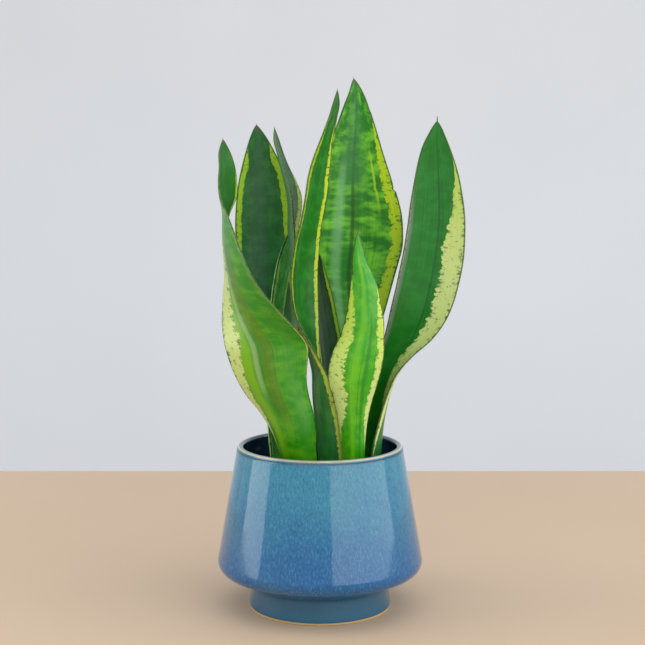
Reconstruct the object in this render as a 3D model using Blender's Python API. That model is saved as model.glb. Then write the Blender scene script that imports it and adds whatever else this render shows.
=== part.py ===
"""Potted snake plant: a glazed footed pot, potting mix, a rhizome and nine leaves, each a separate solid.

Sizes are in millimetres and degrees, and MM turns them into Blender's metres. +Z is up, the origin is the
centre of the foot's underside, and the plant's front looks towards -Y.
"""

import math
from dataclasses import dataclass

import bmesh
import bpy
import numpy as np
from mathutils import Vector

MM = 0.001

# Pot: outside shape
POT_HEIGHT = 125.5
RIM_RADIUS = 62.9
SHOULDER_RADIUS = 78.4
SHOULDER_HEIGHT = 38.2
BELLY_ROUND = 9.6
FOOT_TOP_RADIUS = 52.8
FOOT_HEIGHT = 16.5
COVE_RADIUS = 3.5
FOOT_RADIUS = 54.3
FOOT_ROUND = 2.0
# Pot: wall and floor
WALL = 4.6
FLOOR = 6.0
HEEL_RADIUS = 4.0
POT_STEPS = 64

# Potting mix, and how deep the plant sits in it
SOIL_DEPTH_BELOW_RIM = 27.5
SOIL_CROWN = 2.5
SOIL_GAP = 0.3
PLANTING_DEPTH = 26.5
SEAT_GAP = 0.4

# Rhizome: the flat-topped crown of two shoots, where the blades stand, on a creeping stem
SHOOTS = ((19.0, -4.0), (-17.0, 4.0))
CROWN_RADIUS = 27.0
CROWN_THICKNESS = 12.0
CROWN_ROUND = 2.0
CROWN_TAPER = 5.0
CROWN_STEPS = 20
STEM_RADIUS = 8.0
STEM_DROP = 5.0
STEM_TIP = (-42.0, 6.0)

# Blades: thickness, and how they are divided
MIDRIB_THICKNESS = 3.6
THIN_MIDRIB = 2.0
EDGE_THICKNESS = 1.1
TIP_THICKNESS = 0.7
ACROSS = (-1.0, -0.88, -0.7, -0.4, 0.0, 0.4, 0.7, 0.88, 1.0)
TURN_BACK_FROM = 0.7
RING_SPACING = 12.5
ARC_STEPS = 20

# The tables below are drawn for a pot with this inside radius at its mouth. In another pot the plant spreads
# or draws in to match.
TABLES_MOUTH_RADIUS = 58.3


@dataclass(frozen=True)
class Section:
    """One level cut through a blade.

    up: height above the blade's foot.
    x, y: the point midway between the blade's two edges.
    width: flattened width of the blade.
    facing: where the upper (inner) face looks, 0 towards -Y and 90 towards +X.
    cup: the arc that the blade is rolled to.
    turned_back: how far the left margin is turned back outwards.
    """

    up: float
    x: float
    y: float
    width: float
    facing: float
    cup: float
    turned_back: float = 0.0


LEAVES = {
    # the tallest, widest blade, at the back of the main shoot
    "leaf_tall_back": [
        Section(0, 20, 12, 18, 0, 170),
        Section(30, 19, 14, 26, 0, 150),
        Section(60, 20, 15, 30, 0, 130),
        Section(90, 22, 17, 34, 0, 105),
        Section(125, 24, 18, 40, 0, 85),
        Section(155, 23, 17, 56, 0, 66),
        Section(180, 22, 16, 71, 0, 56),
        Section(205, 24, 14, 79, 0, 50),
        Section(228, 25, 13, 75, 0, 46),
        Section(250, 25, 12, 62, 0, 42),
        Section(270, 25.5, 11, 47, 0, 40),
        Section(300, 27, 9, 25, 0, 36),
        Section(315, 27, 8, 14, 0, 36),
        Section(325, 26.5, 7, 5, 0, 40),
        Section(331, 25, 7, 0, 0, 40),
    ],
    # a long blade seen from its side: its near edge sweeps left, then back over to the right
    "leaf_tall_twisted": [
        Section(0, 12, -7, 18, 135, 170),
        Section(30, 11, -8, 27, 130, 150),
        Section(50, 10, -8.5, 31, 127, 135),
        Section(70, 8.5, -9, 33, 122, 120),
        Section(90, 5.5, -9.5, 35, 114, 108),
        Section(106, 4, -10, 35.5, 104, 90),
        Section(130, -2, -10, 37, 84, 70),
        Section(145, -6.5, -10, 40, 72, 62),
        Section(158, -9.5, -10, 42, 65, 56),
        Section(180, -11, -11, 43, 63, 52),
        Section(205, -9, -11, 42, 64, 50),
        Section(222, -6, -11, 39, 66, 48),
        Section(241, -2.5, -10, 36, 64, 46),
        Section(260, 0, -9, 32, 62, 44),
        Section(277, 3.5, -8, 23, 62, 44),
        Section(290, 7, -7, 15, 60, 60),
        Section(302, 10.5, -6, 8, 50, 90),
        Section(312, 12.5, -6, 5, 40, 100),
        Section(322, 13, -6, 0, 40, 100),
    ],
    # the broad front blade that turns over half way up, so that its back shows below and its face above
    "leaf_front_broad": [
        Section(0, -14, -12, 22, 165, 165),
        Section(30, -14, -17, 30, 168, 145),
        Section(52, -16.5, -20, 33, 170, 130),
        Section(66, -19, -22, 38, 172, 118),
        Section(80, -23.5, -24, 43, 174, 105),
        Section(92, -29.5, -26, 49, 176, 95),
        Section(103, -34, -28, 53, 178, 88),
        Section(115, -37, -29, 58, 178, 80),
        Section(135, -39.5, -31, 64, 174, 66, 20),
        Section(154, -47, -32, 64, 146, 56, 45),
        Section(168, -53, -32, 62, 132, 48, 50),
        Section(181, -57.5, -32, 59, 121, 42, 50),
        Section(198, -62, -31, 55, 112, 38, 40),
        Section(218, -65.5, -30, 48, 103, 34, 20),
        Section(230, -66, -30, 44, 92, 32),
        Section(242, -66, -29, 39, 76, 34),
        Section(254, -66.5, -29, 33, 70, 38),
        Section(265, -67, -28, 26, 69, 42),
        Section(277, -69, -27, 16, 69, 46),
        Section(286, -70.5, -27, 0, 69, 46),
    ],
    # the lone blade on the right, swept outwards with its near margin wide open
    "leaf_right": [
        Section(0, 30, -4, 18, -70, 170),
        Section(30, 34, -5, 24, -74, 150),
        Section(50, 36, -5, 27, -75, 140),
        Section(70, 38, -5, 28, -66, 125),
        Section(90, 42, -6, 29, -62, 105),
        Section(109, 48.5, -8, 31, -60, 85),
        Section(121, 54.5, -9, 35, -52, 78),
        Section(132, 62.5, -10, 41, -40, 68),
        Section(144, 69.5, -10, 45, -30, 58),
        Section(160, 75.5, -10, 48, -22, 50),
        Section(181, 81, -9, 48, -18, 44),
        Section(204, 85, -8, 46, -16, 40),
        Section(231, 87, -6, 42, -16, 38),
        Section(252, 87, -5, 35, -15, 38),
        Section(267, 86.5, -4, 28, -14, 36),
        Section(284, 86, -4, 16, -10, 36),
        Section(291, 86.5, -4, 9, -8, 40),
        Section(297, 87, -4, 3.5, 0, 60),
        Section(302, 87, -4, 0, 0, 60),
    ],
    # the short bright blade at the front of the main shoot
    "leaf_front_short": [
        Section(0, 23, -19, 15, 180, 165),
        Section(30, 24.5, -21, 18, 180, 150),
        Section(52, 25, -23, 19, 180, 140),
        Section(72, 24.5, -25, 23, 180, 125),
        Section(93, 24.5, -28, 31, 180, 104),
        Section(105, 24.5, -30, 38, 180, 90),
        Section(113, 25.5, -31, 41, 180, 84),
        Section(124, 27, -32, 41, 180, 78),
        Section(139, 30.5, -33, 34, 180, 70),
        Section(153, 32.5, -34, 29, 180, 62),
        Section(165, 32.5, -34, 24, 180, 56),
        Section(180, 32, -34, 19, 180, 50),
        Section(191, 30, -33, 13, 180, 50),
        Section(203, 28, -32, 7, 180, 50),
        Section(213, 28, -31, 3, 180, 60),
        Section(219, 27.5, -31, 0, 180, 60),
    ],
    # the small shaded blade held inside the main shoot
    "leaf_inner": [
        Section(0, 13, 2, 11, 10, 150),
        Section(30, 13, 3, 13, 10, 130),
        Section(60, 12, 5, 15, 10, 110),
        Section(95, 10, 7, 17, 8, 90),
        Section(130, 7.5, 9.5, 19, 6, 75),
        Section(160, 2.5, 11.5, 18, 4, 64),
        Section(185, -1, 12, 11, 0, 56),
        Section(195, -2, 12, 6, 0, 50),
        Section(203, -2.5, 12, 0, 0, 50),
    ],
    # the wide dark blade at the back of the second shoot
    "leaf_back_left": [
        Section(0, -14, 22, 18, 0, 165),
        Section(30, -15.5, 25, 24, 0, 145),
        Section(60, -21, 28, 28, 0, 120),
        Section(95, -29, 30, 34, 0, 95),
        Section(130, -36, 32, 39, 0, 75),
        Section(170, -40.5, 33, 44, 0, 60),
        Section(200, -42.5, 33, 45, 0, 52),
        Section(223, -44, 32, 43, 0, 46),
        Section(237, -44, 31, 41, 0, 42),
        Section(252, -44, 30, 37, 0, 40),
        Section(263, -44.5, 29, 31, 0, 38),
        Section(282, -46.5, 27, 16, 0, 38),
        Section(290, -47.5, 26, 8, 0, 38),
        Section(297, -48.5, 25, 0, 0, 40),
    ],
    # the blade seen on edge, between the dark blade and the tall ones
    "leaf_on_edge": [
        Section(0, -6, 5, 16, 80, 155),
        Section(30, -6.5, 7, 21, 80, 135),
        Section(60, -9, 9, 25, 82, 105),
        Section(100, -12, 11, 28, 84, 80),
        Section(140, -14.5, 12, 31, 86, 64),
        Section(180, -16, 12, 33, 87, 58),
        Section(205, -17, 12, 34, 87, 60),
        Section(218, -17.5, 12, 35, 86, 64),
        Section(236, -16.5, 12, 39, 80, 64),
        Section(251, -20, 12, 33, 80, 62),
        Section(260, -23.5, 12, 27, 81, 58),
        Section(270, -27, 12, 19, 84, 62),
        Section(279, -29.5, 12, 13, 85, 76),
        Section(287, -32, 12, 8, 85, 100),
        Section(295, -34.5, 12, 0, 85, 110),
    ],
    # the small pale blade low between the two shoots
    "leaf_small": [
        Section(0, -27, 3, 14, 25, 155),
        Section(30, -29, 5, 17, 25, 130),
        Section(60, -32, 8, 17, 30, 100),
        Section(95, -34, 13, 16, 32, 78),
        Section(130, -34.5, 18, 14, 34, 64),
        Section(150, -33, 22, 12, 30, 58),
        Section(168, -31, 24, 12, 24, 54),
        Section(186, -28, 26, 12, 16, 52),
        Section(202, -25, 27, 9, 8, 50),
        Section(210, -23.5, 27, 5, 4, 50),
        Section(218, -22, 27, 0, 0, 50),
    ],
}


# ---------------------------------------------------------------- helpers


def clear_scene():
    """Removes what the start-up file holds."""
    for obj in list(bpy.data.objects):
        bpy.data.objects.remove(obj, do_unlink=True)


def material(name, colour, roughness, metallic=0.0):
    """A Principled material with one colour."""
    made = bpy.data.materials.new(name)
    made.use_nodes = True
    shader = made.node_tree.nodes["Principled BSDF"]
    shader.inputs["Base Color"].default_value = (*colour, 1.0)
    shader.inputs["Roughness"].default_value = roughness
    shader.inputs["Metallic"].default_value = metallic
    made.diffuse_color = (*colour, 1.0)
    return made


def object_from(bm, name, look=None, sharp_angle=40.0):
    """Turns a bmesh into a smooth-shaded object in the scene."""
    mesh = bpy.data.meshes.new(name)
    bmesh.ops.recalc_face_normals(bm, faces=bm.faces[:])
    bm.to_mesh(mesh)
    bm.free()
    mesh.shade_smooth()
    mesh.set_sharp_from_angle(angle=math.radians(sharp_angle))
    obj = bpy.data.objects.new(name, mesh)
    bpy.context.scene.collection.objects.link(obj)
    if look is not None:
        mesh.materials.append(look)
    return obj


def as_cutter(obj):
    """Marks an object as a Boolean tool that isn't part of the model."""
    obj.hide_render = True
    obj.display_type = "WIRE"
    return obj


def boolean(obj, tool, operation):
    """Adds an exact Boolean of obj with tool."""
    step = obj.modifiers.new(f"{operation.lower()}_{tool.name}", "BOOLEAN")
    step.operation = operation
    step.object = tool
    step.solver = "EXACT"


def arc(centre_u, centre_v, radius, start, end, points):
    """Points (u, v) of a plane on an arc, from the start angle to the end angle in degrees."""
    angles = np.radians(np.linspace(start, end, points))
    return [(centre_u + radius * math.cos(a), centre_v + radius * math.sin(a)) for a in angles]


def turned(profile, steps):
    """A bmesh turned about Z from (r, z) points in millimetres that start and end on the axis."""
    bm = bmesh.new()
    verts = [bm.verts.new((r * MM, 0.0, z * MM)) for r, z in profile]
    edges = [bm.edges.new(pair) for pair in zip(verts, verts[1:])]
    bmesh.ops.spin(
        bm,
        geom=verts + edges,
        axis=(0, 0, 1),
        cent=(0, 0, 0),
        angle=math.tau,
        steps=steps,
        use_merge=True,
    )
    bmesh.ops.remove_doubles(bm, verts=bm.verts[:], dist=0.01 * MM)
    return bm


def smooth_through(knots, values, at):
    """Cubic through the values at the knots, with no overshoot between them."""
    knots, values = np.asarray(knots, float), np.asarray(values, float)
    steps = np.diff(knots)
    rises = np.diff(values) / steps
    slopes = np.zeros(len(knots))
    slopes[0], slopes[-1] = rises[0], rises[-1]
    for i in range(1, len(knots) - 1):
        if rises[i - 1] * rises[i] > 0:
            before = 2 * steps[i] + steps[i - 1]
            after = steps[i] + 2 * steps[i - 1]
            slopes[i] = (before + after) / (before / rises[i - 1] + after / rises[i])
    i = int(np.clip(np.searchsorted(knots, at) - 1, 0, len(steps) - 1))
    t = (at - knots[i]) / steps[i]
    return (
        values[i] * (1 + 2 * t) * (1 - t) ** 2
        + values[i + 1] * t * t * (3 - 2 * t)
        + slopes[i] * steps[i] * t * (1 - t) ** 2
        + slopes[i + 1] * steps[i] * t * t * (t - 1)
    )


# ---------------------------------------------------------------- levels that pieces share


def soil_top():
    """Height of the potting mix where it meets the pot's wall."""
    return POT_HEIGHT - SOIL_DEPTH_BELOW_RIM


def blade_foot():
    """Height of the blades' feet, just above the rhizome's crowns."""
    return soil_top() - PLANTING_DEPTH


def crown_top():
    """Height of the crowns' flat tops."""
    return blade_foot() - SEAT_GAP


def wall_radius(z):
    """Outer radius of the straight, sloping wall at height z."""
    t = (z - SHOULDER_HEIGHT) / (POT_HEIGHT - SHOULDER_HEIGHT)
    return SHOULDER_RADIUS + (RIM_RADIUS - SHOULDER_RADIUS) * t


def wall_lean():
    """Angle in degrees at which the wall draws in as it rises."""
    return math.degrees(math.atan2(SHOULDER_RADIUS - RIM_RADIUS, POT_HEIGHT - SHOULDER_HEIGHT))


def belly_centre():
    """(r, z) of the centre of the rounded belly, which runs smoothly into the wall."""
    lean = math.radians(wall_lean())
    return SHOULDER_RADIUS - BELLY_ROUND * math.cos(lean), SHOULDER_HEIGHT - BELLY_ROUND * math.sin(lean)


def underside_rise():
    """Angle in degrees at which the underside rises from the foot's cove to touch the belly."""
    centre_r, centre_z = belly_centre()
    out, up = centre_r - FOOT_TOP_RADIUS - COVE_RADIUS, centre_z - FOOT_HEIGHT - COVE_RADIUS
    return math.degrees(math.atan2(up, out) - math.asin(BELLY_ROUND / math.hypot(out, up)))


def spread():
    """How much wider than the tables the plant is, for its pot's mouth."""
    return (wall_radius(POT_HEIGHT) - WALL) / TABLES_MOUTH_RADIUS


# ---------------------------------------------------------------- pot


def outer_profile():
    """(r, z) from the middle of the underside, up the flared foot, round the belly and up to below the rim."""
    foot = arc(FOOT_RADIUS - FOOT_ROUND, FOOT_ROUND, FOOT_ROUND, -90, 0, 3)
    cove = arc(FOOT_TOP_RADIUS + COVE_RADIUS, FOOT_HEIGHT, COVE_RADIUS, 180, 90, 4)
    belly = arc(*belly_centre(), BELLY_ROUND, underside_rise() - 90, wall_lean(), 8)
    wall = [(wall_radius(z), z) for z in np.linspace(SHOULDER_HEIGHT, POT_HEIGHT - WALL / 2, 6)[1:]]
    return [(0.0, 0.0)] + foot + cove + belly + wall


def hollow_profile(top, gap=0.0):
    """(r, z) down the pot's inside from the height top to the middle of its floor, drawn in by gap."""
    inset = WALL + gap
    wall = [(wall_radius(z) - inset, z) for z in np.linspace(top, SHOULDER_HEIGHT, 4)[:-1]]
    belly = arc(*belly_centre(), BELLY_ROUND - inset, wall_lean(), underside_rise() - 90, 5)
    last_r, last_z = belly[-1]
    well_r = FOOT_TOP_RADIUS - inset
    well_z = last_z - (last_r - well_r) * math.tan(math.radians(underside_rise()))
    heel = arc(FOOT_TOP_RADIUS - WALL - HEEL_RADIUS, FLOOR + HEEL_RADIUS, HEEL_RADIUS - gap, 0, -90, 4)
    return wall + belly + [(well_r, well_z)] + heel + [(0.0, FLOOR + gap)]


def rim_profile():
    """The rounded lip from the outside over to the inside."""
    return arc(wall_radius(POT_HEIGHT) - WALL / 2, POT_HEIGHT - WALL / 2, WALL / 2, 20, 160, 5)


def build_pot():
    """The pot, one fired piece with a turned foot and a flat underside."""
    profile = outer_profile() + rim_profile() + hollow_profile(POT_HEIGHT - WALL / 2)
    glaze = material("blue_glaze", (0.09, 0.25, 0.42), 0.15)
    return object_from(turned(profile, POT_STEPS), "pot", glaze)


# ---------------------------------------------------------------- leaves


def half_section(width, cup, turned_back, side, thickness, grow):
    """Inner and outer points (across, inwards) of one half of a section, from the midrib to one edge."""
    roll = math.radians(cup) / 2
    places = sorted(abs(s) for s in ACROSS if s * side >= 0)
    inner, outer, middle = {}, {}, {}
    point = np.zeros(2)
    last = 0.0
    for place in places:
        for step in range(ARC_STEPS):
            s = last + (place - last) * (step + 0.5) / ARC_STEPS
            angle = roll * s - lip_angle(turned_back, s)
            step_length = width / 2 * (place - last) / ARC_STEPS
            point = point + np.array((math.cos(angle), math.sin(angle))) * step_length
        angle = roll * place - lip_angle(turned_back, place)
        outwards = np.array((math.sin(angle), -math.cos(angle)))
        beyond_edge = np.array((math.cos(angle), math.sin(angle))) * grow * (place == places[-1])
        inner[place] = (point + beyond_edge - outwards * grow) * (side, 1)
        outer[place] = (point + beyond_edge + outwards * (thickness(place) + grow)) * (side, 1)
        middle[place] = point * (side, 1)
        last = place
    return inner, outer, middle


def lip_angle(turned_back, s):
    """How far the margin is turned back outwards at s, which is 1 at the edge."""
    return math.radians(turned_back) * max(0.0, (s - TURN_BACK_FROM) / (1 - TURN_BACK_FROM))


def section_outline(section, share, grow=0.0):
    """Ring of (x, y) points of a level cut: the inner face from left to right, then the outer face back.

    share is 0 at the blade's foot and 1 at its tip. grow makes the outline larger all round.
    """
    midrib = MIDRIB_THICKNESS + (THIN_MIDRIB - MIDRIB_THICKNESS) * share
    midrib = min(midrib, TIP_THICKNESS + section.width * 0.2)
    edge = min(EDGE_THICKNESS, TIP_THICKNESS + section.width * 0.1)

    def thickness(place):
        return edge + (midrib - edge) * (1 - place**2.2)

    left = half_section(section.width, section.cup, section.turned_back, -1, thickness, grow)
    right = half_section(section.width, section.cup, 0.0, 1, thickness, grow)
    inner = [(left if s < 0 else right)[0][abs(s)] for s in ACROSS]
    outer = [(left if s < 0 else right)[1][abs(s)] for s in reversed(ACROSS)]
    centre = (left[2][1.0] + right[2][1.0]) / 2
    turn = math.radians(section.facing)
    across_axis = np.array((math.cos(turn), math.sin(turn)))
    inwards_axis = np.array((math.sin(turn), -math.cos(turn)))
    place = np.array((section.x, section.y))
    local = [point - centre for point in inner + outer]
    return [place + across * across_axis + inwards * inwards_axis for across, inwards in local]


def section_at(sections, up):
    """The section at one height above the foot, read smoothly between the stated ones."""
    knots = [s.up for s in sections]
    fields = ("x", "y", "width", "facing", "cup", "turned_back")
    return Section(up, *(smooth_through(knots, [getattr(s, f) for s in sections], up) for f in fields))


def ring_heights(tip):
    """Heights of a blade's rings above its foot, a little closer together towards the tip."""
    count = round(tip / RING_SPACING)
    return [tip * (1.15 - 0.15 * k / count) * k / count for k in range(count + 1)]


def blade(sections, heights, grow=0.0, pointed=True):
    """A bmesh lofted by extruding one ring of edges from level to level."""
    tip = sections[-1].up
    bm = bmesh.new()
    ring = bmesh.ops.create_circle(bm, cap_ends=True, segments=2 * len(ACROSS), radius=MM)["verts"]
    for i, up in enumerate(heights):
        if i:
            ring = extruded_ring(bm, ring)
        place_ring(ring, section_outline(section_at(sections, max(up, 0.0)), up / tip, grow), up)
    if pointed:
        top = place_of_point(sections[-1])
        bmesh.ops.pointmerge(bm, verts=ring, merge_co=top)
    else:
        bm.faces.new(ring)
    return bm


def extruded_ring(bm, ring):
    """A new ring joined to this one by a band of faces, in the same order."""
    members = set(ring)
    loop = {e for v in ring for e in v.link_edges if e.other_vert(v) in members}
    grown = set(bmesh.ops.extrude_edge_only(bm, edges=list(loop))["geom"])
    return [next(e.other_vert(v) for e in v.link_edges if e.other_vert(v) in grown) for v in ring]


def place_ring(ring, outline, up):
    """Puts a ring's vertices on an outline at one height above the foot."""
    for vert, (x, y) in zip(ring, outline):
        vert.co = Vector((x * spread(), y * spread(), blade_foot() + up)) * MM


def place_of_point(section):
    """Where a blade's point is, in metres."""
    return Vector((section.x * spread(), section.y * spread(), blade_foot() + section.up)) * MM


def build_leaf(name, look):
    """One blade as a closed solid, from its foot on the rhizome to its point."""
    sections = LEAVES[name]
    return object_from(blade(sections, ring_heights(sections[-1].up)), name, look)


def build_leaf_seat(name):
    """A slightly larger copy of a blade's buried part, which cuts its seat in the potting mix."""
    sections = LEAVES[name]
    heights = ring_heights(sections[-1].up)
    buried = [up for up in heights if up < PLANTING_DEPTH + SOIL_CROWN + SEAT_GAP]
    heights = [-2 * SEAT_GAP] + heights[: len(buried) + 1]
    return as_cutter(object_from(blade(sections, heights, SEAT_GAP, pointed=False), f"{name}_seat"))


# ---------------------------------------------------------------- below the surface


def crown_bmesh(grow):
    """The flat-topped crown that the blades stand on, drawn round both shoots."""
    top = crown_top() + grow
    low = crown_top() - CROWN_THICKNESS - grow
    radius = CROWN_RADIUS * spread() + grow
    rings = ((radius - CROWN_ROUND, top), (radius, crown_top() - CROWN_ROUND), (radius - CROWN_TAPER, low))
    bm = bmesh.new()
    for x, y in SHOOTS:
        for ring_radius, z in rings:
            for ring_x, ring_y in arc(x * spread(), y * spread(), ring_radius, 0, 360, CROWN_STEPS + 1)[:-1]:
                bm.verts.new(Vector((ring_x, ring_y, z)) * MM)
    hull = bmesh.ops.convex_hull(bm, input=bm.verts[:])
    bmesh.ops.delete(bm, geom=list({*hull["geom_interior"], *hull["geom_unused"]}), context="VERTS")
    bmesh.ops.dissolve_limit(bm, angle_limit=math.radians(0.5), verts=bm.verts[:], edges=bm.edges[:])
    return bm


def stem_bmesh(grow):
    """The creeping stem, a round bar through both crowns to the growing tip."""
    axis_z = crown_top() - STEM_DROP - STEM_RADIUS
    path = [Vector((x * spread(), y * spread(), axis_z)) * MM for x, y in (*SHOOTS, STEM_TIP)]
    bm = bmesh.new()
    first = (path[1] - path[0]).normalized()
    path[0] -= first * grow * MM
    ring = bmesh.ops.create_circle(bm, cap_ends=True, segments=10, radius=(STEM_RADIUS + grow) * MM)["verts"]
    bmesh.ops.transform(bm, matrix=first.to_track_quat("Z", "Y").to_matrix().to_4x4(), verts=ring)
    bmesh.ops.translate(bm, vec=path[0], verts=ring)
    for start, end in zip(path, path[1:]):
        ring = extruded_ring(bm, ring)
        bmesh.ops.translate(bm, vec=end - start, verts=ring)
    tip = path[-1] + (path[-1] - path[-2]).normalized() * (STEM_RADIUS + 2 * grow) * MM
    bmesh.ops.pointmerge(bm, verts=extruded_ring(bm, ring), merge_co=tip)
    return bm


def build_rhizome(name, grow=0.0):
    """The crown and the creeping stem under it, as one body."""
    skin = material("rhizome_skin", (0.62, 0.40, 0.20), 0.6)
    rhizome = object_from(crown_bmesh(grow), name, skin)
    boolean(rhizome, as_cutter(object_from(stem_bmesh(grow), f"{name}_stem")), "UNION")
    return rhizome


def build_soil():
    """Potting mix that fills the pot to below the rim, with a seat for each blade and for the rhizome."""
    edge = soil_top()
    mix = material("potting_mix", (0.035, 0.024, 0.017), 0.95)
    profile = [(0.0, edge + SOIL_CROWN)] + hollow_profile(edge, SOIL_GAP)
    soil = object_from(turned(profile, POT_STEPS // 2), "potting_mix", mix)
    for name in LEAVES:
        boolean(soil, build_leaf_seat(name), "DIFFERENCE")
    boolean(soil, as_cutter(build_rhizome("rhizome_seat", SEAT_GAP)), "DIFFERENCE")
    return soil


LEAF_GREENS = {
    "leaf_front_short": (0.11, 0.30, 0.02),
    "leaf_front_broad": (0.13, 0.27, 0.02),
    "leaf_small": (0.12, 0.33, 0.10),
}
DARK_GREEN = (0.02, 0.13, 0.03)


def main():
    """Builds every piece in place."""
    clear_scene()
    build_pot()
    build_soil()
    build_rhizome("rhizome")
    for name in LEAVES:
        build_leaf(name, material(f"{name}_green", LEAF_GREENS.get(name, DARK_GREEN), 0.35))


main()
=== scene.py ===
"""Looks of a potted snake plant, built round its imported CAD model.

The pot, the potting mix and the nine blades are modelled anew around the frame, and the rhizome keeps its CAD
mesh. Everything is in metres in the frame's own axes: +Z is up and the plant's front looks towards -Y.
"""

import logging
import math
import random
from dataclasses import astuple, dataclass, field
from enum import Enum
from typing import Any, Callable

import bmesh
import bpy
import numpy as np
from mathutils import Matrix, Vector, noise


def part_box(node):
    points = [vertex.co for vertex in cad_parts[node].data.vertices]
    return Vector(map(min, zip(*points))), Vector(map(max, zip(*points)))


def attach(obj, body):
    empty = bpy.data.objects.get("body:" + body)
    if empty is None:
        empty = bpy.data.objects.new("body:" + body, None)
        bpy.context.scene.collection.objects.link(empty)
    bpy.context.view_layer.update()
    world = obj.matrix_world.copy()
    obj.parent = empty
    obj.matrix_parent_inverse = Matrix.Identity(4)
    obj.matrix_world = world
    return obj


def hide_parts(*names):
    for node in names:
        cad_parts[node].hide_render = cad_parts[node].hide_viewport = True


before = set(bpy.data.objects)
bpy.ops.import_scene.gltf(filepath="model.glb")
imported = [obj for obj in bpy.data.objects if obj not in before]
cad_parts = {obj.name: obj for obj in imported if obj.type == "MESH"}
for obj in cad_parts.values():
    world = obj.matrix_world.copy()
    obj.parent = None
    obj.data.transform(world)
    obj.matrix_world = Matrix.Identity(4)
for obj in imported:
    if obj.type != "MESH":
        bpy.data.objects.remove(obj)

log = logging.getLogger("snake_plant")

MM = 0.001
BODY = "root"
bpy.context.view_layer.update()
MARGIN_LOSS = 0.96  # share of a margin's width that is gone at the leaf's base
GLAZE_DRIFT = 0.10 * MM  # how far the glaze's surface wanders inwards
LIGHT_AIM = (0, 0, 0.18)

Colour = tuple[float, float, float]
Point = tuple[float, float]  # (r, z) of a profile, or any other pair
Reading = Any  # a number, a colour, a vector or a Signal


def tone(*screen: float) -> Colour:
    """A paint colour in linear values from its 0 to 255 screen values of red, green and blue."""
    shares = [value / 255 for value in screen]
    return tuple(s / 12.92 if s <= 0.04045 else ((s + 0.055) / 1.055) ** 2.4 for s in shares)


# ---- shader tools


def operator(kind: str, swapped: bool = False) -> Callable[["Signal", Reading], "Signal"]:
    """A Math node as a method of Signal, with its two values the other way round if swapped."""
    def method(self: "Signal", other: Reading) -> "Signal":
        """Adds that node."""
        return self.graph.math(kind, *((other, self) if swapped else (self, other)))

    return method


class Signal:
    """An output socket that Python arithmetic works on."""

    def __init__(self, graph: "Graph", socket: bpy.types.NodeSocket) -> None:
        """Wraps a socket of the graph's node tree."""
        self.graph = graph
        self.socket = socket

    __add__ = __radd__ = operator("ADD")
    __sub__, __rsub__ = operator("SUBTRACT"), operator("SUBTRACT", swapped=True)
    __mul__ = __rmul__ = operator("MULTIPLY")
    __truediv__ = operator("DIVIDE")
    __gt__ = operator("GREATER_THAN")


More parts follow.
